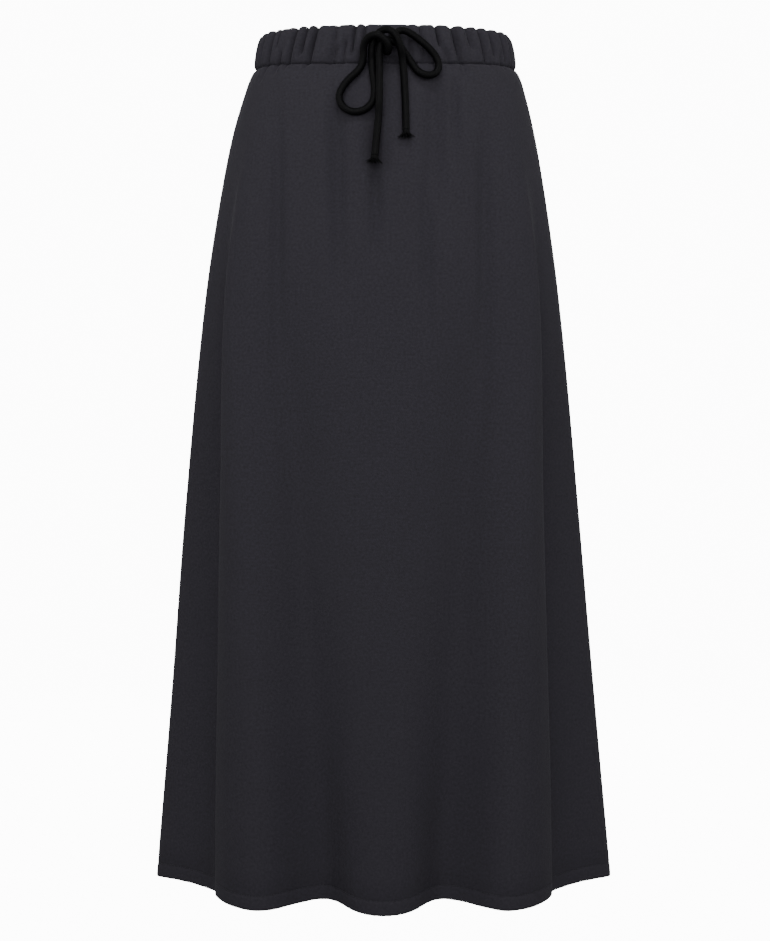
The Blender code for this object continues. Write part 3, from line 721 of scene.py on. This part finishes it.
def braid_relief(turn, way):
    """Height of a round braid, strands crossing over and under two at a time."""
    u = turn * CARRIERS + way / BRAID_PITCH
    v = turn * CARRIERS - way / BRAID_PITCH
    over = ((np.floor(u) + np.floor(v)) % 2.0) < 0.5
    across = np.where(over, u, v) % 1.0
    lengthwise = np.where(over, v, u) % 1.0
    return np.sin(math.pi * across) ** 0.7 * (0.55 + 0.45 * np.sin(math.pi * lengthwise))


def build_cord(name, way, material):
    """Braided cord: a tube of fine rings with the braid's relief worked in."""
    fine = cord_path(way, CORD_STEPS)
    path, walked = even_path(fine, CORD_RING)
    along = np.gradient(path, axis=0)
    along /= np.linalg.norm(along, axis=1)[:, None]
    side = np.array([0.0, 0.0, 1.0])
    turns = np.arange(CORD_SIDES) / CORD_SIDES
    points = []
    uv = []
    for k, centre in enumerate(path):
        side = unit(side - along[k] * np.dot(side, along[k]))
        other = np.cross(along[k], side)
        relief = braid_relief(turns, walked[k])
        radius = CORD_DIAMETER / 2.0 - BRAID_RELIEF * (1.0 - relief)
        angle = 2.0 * math.pi * turns
        points.append(centre + np.cos(angle)[:, None] * side * radius[:, None]
                      + np.sin(angle)[:, None] * other * radius[:, None])
        uv.append(np.column_stack([turns * CORD_ROUND, np.full(CORD_SIDES, walked[k])]))
    faces = tube_faces(len(path), CORD_SIDES)
    piece = add_mesh(name, np.concatenate(points), faces, material, np.concatenate(uv))
    return piece, fine, path[-1], unit(path[-1] - path[-4])


def build_tip(name, end, along, material, seed):
    """Frayed end: the braid opens into loose yarns that bend outwards and thin out."""
    rng = random.Random(seed)
    across = unit(np.cross(along, np.array([0.0, -1.0, 0.0])))
    out = np.cross(across, along)
    if out[1] > 0.0:
        out = -out
    points = []
    faces = []
    uv = []

    def add_tube(centres, radii, sides):
        """A closed tube through the centres."""
        base = len(points)
        heading = unit(centres[-1] - centres[0])
        side = unit(np.cross(heading, out) + 0.001 * across)
        for k, centre in enumerate(centres):
            other = np.cross(heading, side)
            for s in range(sides):
                angle = 2.0 * math.pi * s / sides
                points.append(centre + (side * math.cos(angle) + other * math.sin(angle)) * radii[k])
                uv.append((angle * radii[0], k * MM))
        faces.extend(tube_faces(len(centres), sides, base))

    # the last of the braid, drawn in a little where it opens
    head = [end + along * TIP_HEAD * share for share in (0.0, 0.35, 0.7, 1.0)]
    add_tube(head, [radius * MM for radius in TIP_HEAD_RADII], 20)
    outer_ring = TIP_YARNS[-1][0] * MM
    for radius, count in TIP_YARNS:
        ring = radius * MM
        share = ring / outer_ring
        for k in range(count):
            angle = 2.0 * math.pi * (k + rng.uniform(-0.25, 0.25)) / count
            u = math.cos(angle)
            v = math.sin(angle)
            splay = TIP_SPLAY * share * rng.uniform(0.75, 1.25)
            length = TIP_STRAND * rng.uniform(0.72, 1.0)
            curl = rng.uniform(-0.8, 0.8) * MM
            centres = []
            for t, thickness in TIP_THICK:
                spread_u = u * (ring + splay * t ** 1.4) + curl * t * t * v
                outer = ring + 0.7 * splay * t ** 1.4
                inner = ring * (1.0 - 0.2 * t)
                spread_v = v * (outer if v > 0.0 else inner)
                centres.append(end + along * (TIP_HEAD * 0.7 + length * t * (1.0 - 0.12 * share * t))
                               + across * spread_u + out * spread_v)
            thick = rng.uniform(0.42, 0.60) * MM
            add_tube(centres, [thick * thickness for t, thickness in TIP_THICK], 5)
    return add_mesh(name, points, faces, material, uv)


# ======== panels
def crease_depth(x, y, z):
    """How far the soft creases draw the cloth in at points of a panel."""
    total = np.zeros(x.shape)
    for facing, creases in ((-1.0, FRONT_CREASES), (1.0, BACK_CREASES)):
        on_side = soft_step(-0.010, 0.030, facing * y)
        for x_top, z_top, x_low, z_low, half, depth in creases:
            t = (z_top * MM - z) / ((z_top - z_low) * MM)
            middle = (x_top + (x_low - x_top) * np.clip(t, 0.0, 1.0)) * MM
            near = np.exp(-((x - middle) / (half * MM)) ** 2)
            ends = soft_step(0.0, 0.30, t) * (1.0 - soft_step(0.45, 1.0, t))
            total += on_side * near * ends * depth * MM
    return total


def fold_crease_depth(around, z):
    """How far the creases along the fold lines draw the cloth in."""
    names = [fold[0] for fold in FOLDS]
    girth = np.interp(-z, (0.0, -HEM_Z), (0.85, 1.50))
    total = np.zeros(around.shape)
    for name, z_top, z_low, half, depth in FOLD_CREASES:
        t = (z_top * MM - z) / ((z_top - z_low) * MM)
        ends = soft_step(0.0, 0.25, t) * (1.0 - soft_step(0.75, 1.0, t))
        line = RING_KNOTS[names.index(name)]
        for place in (line, 1.0 - line):
            apart = (around - place + 0.5) % 1.0 - 0.5
            total += np.exp(-(apart * girth / (half * MM)) ** 2) * ends * depth * MM
    return total


def panel_rows():
    """Heights down a panel as shares, close together under the gathers."""
    rows = [0.0008 * k for k in range(5)]
    step = 0.0011
    while rows[-1] + step < 0.985:
        rows.append(rows[-1] + step)
        step = min(step * 1.062, 0.0145)
    return rows


def side_turn(columns, share):
    """How far a panel turns in towards its side seams, at a share of its height."""
    edge = np.minimum(columns - columns[0], columns[-1] - columns) * (1.0 + HEM_SPREAD * share)
    return SIDE_TURN * (1.0 - soft_step(0.0, SIDE_TURN_REACH, edge))


def panel_surface(columns, share, inside):
    """One row of one face of a panel, at a share of its height."""
    around = share_round(columns)
    top = seam_height(around) - SEAM_GAP / 2.0
    turn = hem_height(around) + TURN_UP
    z = top + (turn - top) * share
    x, y = section(around, z)
    out_x, out_y = outward(around, z)
    below = top - z
    fade = np.clip(1.0 - below / GATHER_FADE, 0.0, 1.0) ** 1.5
    reach = np.clip(1.0 - below / PUCKER_REACH, 0.0, 1.0) ** 2
    move = PANEL_GATHER * gather_wave(columns, -float(np.mean(below)) / (40.0 * MM)) * fade
    move += PANEL_PUCKER * pucker(columns) * reach
    # the top edge turns in to the casing seam
    move -= SEAM_ROLL * (1.0 - soft_step(0.0, 3.0 * MM, below))
    move -= crease_depth(x, y, z) + fold_crease_depth(around, z)
    move -= side_turn(columns, share)
    if inside:
        move -= WALL
    return np.column_stack([x + out_x * move, y + out_y * move, z])


def hem_surface(columns, above, back):
    """One row of the hem, given how far above the edge and how far behind the face."""
    around = share_round(columns)
    hem = hem_height(around)
    ripple = 0.12 * MM * np.sin(columns / MM * 0.62 + 2.0 * np.sin(columns / MM * 0.043))
    z = hem + above * MM + (ripple if above < 6.0 else 0.0)
    x, y = section(around, z)
    out_x, out_y = outward(around, z)
    move = -back * MM + ripple * (1.0 if 9.0 < above < 17.5 else 0.4) - fold_crease_depth(around, z)
    move -= side_turn(columns, 1.0)
    return np.column_stack([x + out_x * move, y + out_y * move, z])


def build_panel(name, first, last, material):
    """A skirt panel: outer face, turned hem edge and inner face as one closed shell."""
    columns = np.linspace(first, last, PANEL_COLUMNS)
    count = len(columns)
    shares = panel_rows()
    face = [panel_surface(columns, share, False) for share in shares]
    face += [hem_surface(columns, above, outside) for above, outside, inside in HEM_ROWS]
    lining = [hem_surface(columns, above, inside) for above, outside, inside in HEM_ROWS[::-1]]
    lining += [panel_surface(columns, share, True) for share in shares[::-1]]
    rows = face + lining
    # lengths across and down the cloth, so that the knit follows it
    middle = count // 2
    downs = walked_along(np.array(rows)[:, middle])
    uv = []
    for row, down in zip(rows, downs):
        across = walked_along(row)
        uv.append(np.column_stack([across - across[middle], np.full(count, down)]))
    total = len(rows)
    faces = grid_faces(total, count, False).tolist()
    # close the top edge and the two sides of the shell
    last_row = (total - 1) * count
    for c in range(count - 1):
        faces.append((last_row + c, c, c + 1, last_row + c + 1))
    end = count - 1
    for r in range(total // 2 - 1):
        s = total - 1 - r
        faces.append((r * count, s * count, (s - 1) * count, (r + 1) * count))
        faces.append(((r + 1) * count + end, (s - 1) * count + end, s * count + end, r * count + end))
    points = np.concatenate(rows)
    panel = add_mesh(name, points, faces, material, np.concatenate(uv))
    waist = walked_along(face[WAIST_ROW])[-1]
    hem = walked_along(face[HEM_ROW])[-1]
    return panel, float(waist), float(hem), float(downs[len(face) - 1])


# ======== casing
def casing_profile():
    """(out, up, share of the wave) over the outer ply, the fold and the inner ply."""
    ups = np.array(OUTER_UPS)
    outside = np.array(CASING_OUTSIDE)
    inside = np.array(CASING_INSIDE)[::-1]
    roll = CASING_ROLL * (1.0 - soft_step(0.0, 0.07, ups))
    outs = smooth_rise(outside[:, 1], outside[:, 0], ups) - roll
    inner_outs = np.interp(INNER_UPS, inside[:, 1], inside[:, 0])
    return ([(out, up, 1.0) for out, up in zip(outs, OUTER_UPS)] + list(TOP_FOLD)
            + [(out, up, INNER_GATHER) for out, up in zip(inner_outs, INNER_UPS)])


def casing_row(columns, out, up, share):
    """One row round the casing: how far out (mm) and up it lies, and its share of the gathers."""
    lean = GATHER_LEAN * up * np.sin(4.0 * math.pi * columns / WAY_TOTAL)
    around = share_round(columns - lean)
    seam = seam_height(around) + SEAM_GAP / 2.0
    top = top_height(around)
    x, y = section(around, WAIST_Z)
    out_x, out_y = outward(around, WAIST_Z)
    wave = gather_wave(columns, up)
    # pinched at the seam and over the elastic's top edge, full between them
    fullness = 0.66 + 0.34 * math.sin(math.pi * min(up, 0.8) / 0.8 * 0.62)
    move = out * MM + wave * share * fullness * (1.0 - 0.45 * up ** 6)
    near_seam = (1.0 - soft_step(0.0, 0.22, up)) * share
    near_top = soft_step(0.80, 1.0, up) * share
    move = move + SEAM_PUCKER * pucker(columns) * near_seam
    move = move + TOP_PUCKER * pucker(columns * 0.9 + 0.3) * near_top
    # the top edge dips a little into each valley
    dip = np.clip(0.34 * wave, -1.9 * MM, 1.2 * MM) * up ** 4 * share
    z = seam + (top - seam) * up + dip
    return np.column_stack([x + out_x * move, y + out_y * move, z])


def casing_columns():
    """Places round the casing, and the first and last column of each slot."""
    even = np.arange(-0.5, 0.5, 1.0 / CASING_COLUMNS) * WAY_TOTAL
    edges = [side * SLOT_ACROSS * MM + edge * SLOT_WIDTH * MM / 2.0
             for side in (-1.0, 1.0) for edge in (-1.0, 1.0)]
    clear = [c for c in even if min(abs(c - e) for e in edges) > SLOT_CLEAR]
    columns = np.array(sorted(clear + edges))
    found = [int(np.argmin(abs(columns - edge))) for edge in edges]
    return columns, [found[:2], found[2:]]


def build_casing(material):
    """The casing: one strip of cloth folded over, gathered, with two slots in front."""
    columns, slots = casing_columns()
    count = len(columns)
    profile = casing_profile()
    face = [casing_row(columns, out, up, share) for out, up, share in profile]
    # the inside of the strip lies one wall behind its face, towards the tunnel
    strip = np.array(face)
    down = np.gradient(strip, axis=0)
    across = np.roll(strip, -1, axis=1) - np.roll(strip, 1, axis=1)
    normal = np.cross(across, down)
    normal /= np.linalg.norm(normal, axis=2)[:, :, None]
    lining = strip + normal * CASING_WALL
    rows = len(face)
    points = np.concatenate([strip.reshape(-1, 3), lining.reshape(-1, 3)])
    shift = rows * count
    low = OUTER_UPS.index(SLOT_LOW)
    high = OUTER_UPS.index(SLOT_HIGH)
    faces = []
    for r in range(rows - 1):
        for c in range(count):
            if low <= r < high and any(first <= c < last for first, last in slots):
                continue
            a = r * count + c
            b = r * count + (c + 1) % count
            faces.append((a, b, b + count, a + count))
            faces.append((a + shift, a + count + shift, b + count + shift, b + shift))
    # the raw edges of the slots
    for first, last in slots:
        for c in range(first, last):
            a = low * count + c
            b = high * count + c
            faces.append((a + 1, a + 1 + shift, a + shift, a))
            faces.append((b + shift, b + 1 + shift, b + 1, b))
        for r in range(low, high):
            a = r * count + first
            b = r * count + last
            faces.append((a + shift, a + count + shift, a + count, a))
            faces.append((b + count, b + count + shift, b + shift, b))
    # the two long edges of the strip, inside the seam
    end = (rows - 1) * count
    for c in range(count):
        d = (c + 1) % count
        faces.append((c, c + shift, d + shift, d))
        faces.append((end + c, end + d, end + d + shift, end + c + shift))
    # lengths round the cloth, near the middle of its height, and over its two plies
    along = walked_along(np.vstack([strip[low], strip[low][:1]]))
    rises = walked_along(strip[:, count // 2])
    uv = np.concatenate([np.column_stack([along[:-1], np.full(count, rise)]) for rise in rises])
    piece = add_mesh("waistband_casing_cloth", points, faces, material, np.concatenate([uv, uv]))
    return piece, float(along[-1]), float(rises[-1])


# ======== stitching
def model_stitch(length, thick, material):
    """One stitch along X at the origin: a short thread, drawn in at its ends."""
    bpy.ops.object.select_all(action="DESELECT")
    bpy.ops.mesh.primitive_uv_sphere_add(segments=6, ring_count=5, radius=0.5)
    stitch = bpy.context.active_object
    stitch.name = "hem_stitch"
    stitch.rotation_euler = (0.0, math.pi / 2.0, 0.0)
    stitch.scale = (thick, thick, length)
    bpy.ops.object.transform_apply(location=False, rotation=True, scale=True)
    bpy.ops.object.shade_smooth()
    stitch.data.materials.append(material)
    return stitch


def sew_hem_row(name, stitch, places):
    """The stitch copied to each place of a hem's row; the row is then joined into one piece."""
    bpy.ops.object.select_all(action="DESELECT")
    for start, end, out in places:
        copied = stitch.copy()
        copied.data = stitch.data.copy()
        along = unit(end - start)
        side = unit(np.cross(out, along))
        turned = np.eye(4)
        turned[:3, 0] = along
        turned[:3, 1] = side
        turned[:3, 2] = np.cross(along, side)
        turned[:3, 3] = (start + end) / 2.0 + out * STITCH_THICK * 0.25
        copied.data.transform(Matrix(turned.tolist()))
        bpy.context.collection.objects.link(copied)
        copied.select_set(True)
        bpy.context.view_layer.objects.active = copied
    bpy.ops.object.join()
    row = bpy.context.active_object
    row.name = name
    return row


def hem_stitch_places(first, last):
    """Start, end and outward way of each stitch of the row round a panel's hem."""
    columns = np.linspace(first, last, STITCH_COLUMNS)
    row = hem_surface(columns, STITCH_ABOVE_HEM, STITCH_BEHIND)
    out_x, out_y = outward(share_round(columns), row[:, 2])
    out = np.column_stack([out_x, out_y, np.zeros(STITCH_COLUMNS)])
    walked = walked_along(row)
    until = walked[-1] - STITCH_START - STITCH_LENGTH
    starts = np.arange(STITCH_START, until, STITCH_LENGTH + STITCH_GAP)
    ends = starts + STITCH_LENGTH
    return zip(points_at(starts, walked, row), points_at(ends, walked, row), points_at(starts, walked, out))


# ======== scene
place_camera()

cord_black = cord_material()
halves = (
    ("right_loop_cord", RIGHT_LOOP_CORD, "cord_right_loop", "long_tip_frayed", 5, "cord_tip_long"),
    ("left_loop_cord", LEFT_LOOP_CORD, "cord_left_loop", "short_tip_frayed", 11, "cord_tip_short"),
)
cords = [build_cord(name, table, cord_black) for name, table, *rest in halves]
for (name, table, node, tip_name, seed, tip_node), (cord, way, end, along) in zip(halves, cords):
    tip = build_tip(tip_name, end, along, cord_black, seed)
    length = float(walked_along(way)[-1])
    for piece, replaced in ((cord, node), (tip, tip_node)):
        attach(piece, "root")
        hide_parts(replaced)

knit = knit_material()
thread = thread_material()
casing, casing_length, casing_width = build_casing(knit)
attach(casing, "root")
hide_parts("waistband_casing")
spans = {"front": (-WAY_SIDE, WAY_SIDE), "back": (WAY_SIDE, WAY_TOTAL - WAY_SIDE)}
panels = {side: build_panel(side + "_panel_cloth", *span, knit) for side, span in spans.items()}
one_stitch = model_stitch(STITCH_LENGTH, STITCH_THICK, thread)
for side, (panel, waist, hem, length) in panels.items():
    stitches = sew_hem_row(side + "_hem_stitches", one_stitch, hem_stitch_places(*spans[side]))
    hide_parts(side + "_panel")
    for piece in (panel, stitches):
        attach(piece, "root")
bpy.data.objects.remove(one_stitch)


# -------- floor and lights
def add_studio():
    """A flat white floor under a white dome; only the camera sees their glow."""
    floor = (0.0, 0.0, FLOOR_Z)
    bpy.ops.object.select_all(action="DESELECT")
    bpy.ops.mesh.primitive_uv_sphere_add(segments=64, ring_count=32, radius=DOME_RADIUS, location=floor)
    dome = bpy.context.active_object
    dome.name = "studio_floor_and_walls"
    bpy.ops.object.mode_set(mode="EDIT")
    bpy.ops.mesh.select_all(action="SELECT")
    bpy.ops.mesh.bisect(plane_co=floor, plane_no=(0.0, 0.0, 1.0), use_fill=True, clear_inner=True)
    bpy.ops.mesh.select_all(action="SELECT")
    bpy.ops.mesh.flip_normals()
    bpy.ops.object.mode_set(mode="OBJECT")
    dome.data.materials.append(studio_material())
    dome.visible_diffuse = False
    dome.visible_glossy = False


def aim_lamp(light, place, aim):
    """Hang a lamp at a place, facing a point, and keep it out of the camera's view."""
    lamp = bpy.data.objects.new(light.name, light)
    lamp.location = place
    lamp.visible_camera = False
    way = np.array(aim) - np.array(place)
    flat = math.hypot(way[0], way[1])
    lamp.rotation_euler = (math.atan2(flat, -way[2]), 0.0, math.atan2(way[1], way[0]) - math.pi / 2.0)
    bpy.context.scene.collection.objects.link(lamp)


def add_softbox(name, place, aim, size, power):
    """A flat rectangular lamp."""
    light = bpy.data.lights.new(name, "AREA")
    light.shape = "RECTANGLE"
    light.size = size[0]
    light.size_y = size[1]
    light.energy = power
    aim_lamp(light, place, aim)


def add_waist_spot(name, place, aim, power):
    """A soft-edged spot that lifts the waist and leaves the hem in the softboxes' light."""
    light = bpy.data.lights.new(name, "SPOT")
    light.energy = power
    light.spot_size = math.radians(31.0)
    light.spot_blend = 0.5
    light.shadow_soft_size = 0.2
    aim_lamp(light, place, aim)


add_studio()
for softbox in SOFTBOXES:
    add_softbox(*softbox)
for name, side in (("waist_spot_left", -1.0), ("waist_spot_right", 1.0)):
    add_waist_spot(name, (1.4 * side, -2.1, 0.9), (0.1 * side, 0.0, 0.05), WAIST_SPOT_POWER)
world = bpy.data.worlds.new("dim_room")
world.use_nodes = True
world.node_tree.nodes["Background"].inputs["Color"].default_value = linear("#ffffff")
world.node_tree.nodes["Background"].inputs["Strength"].default_value = ROOM_LIGHT
bpy.context.scene.world = world
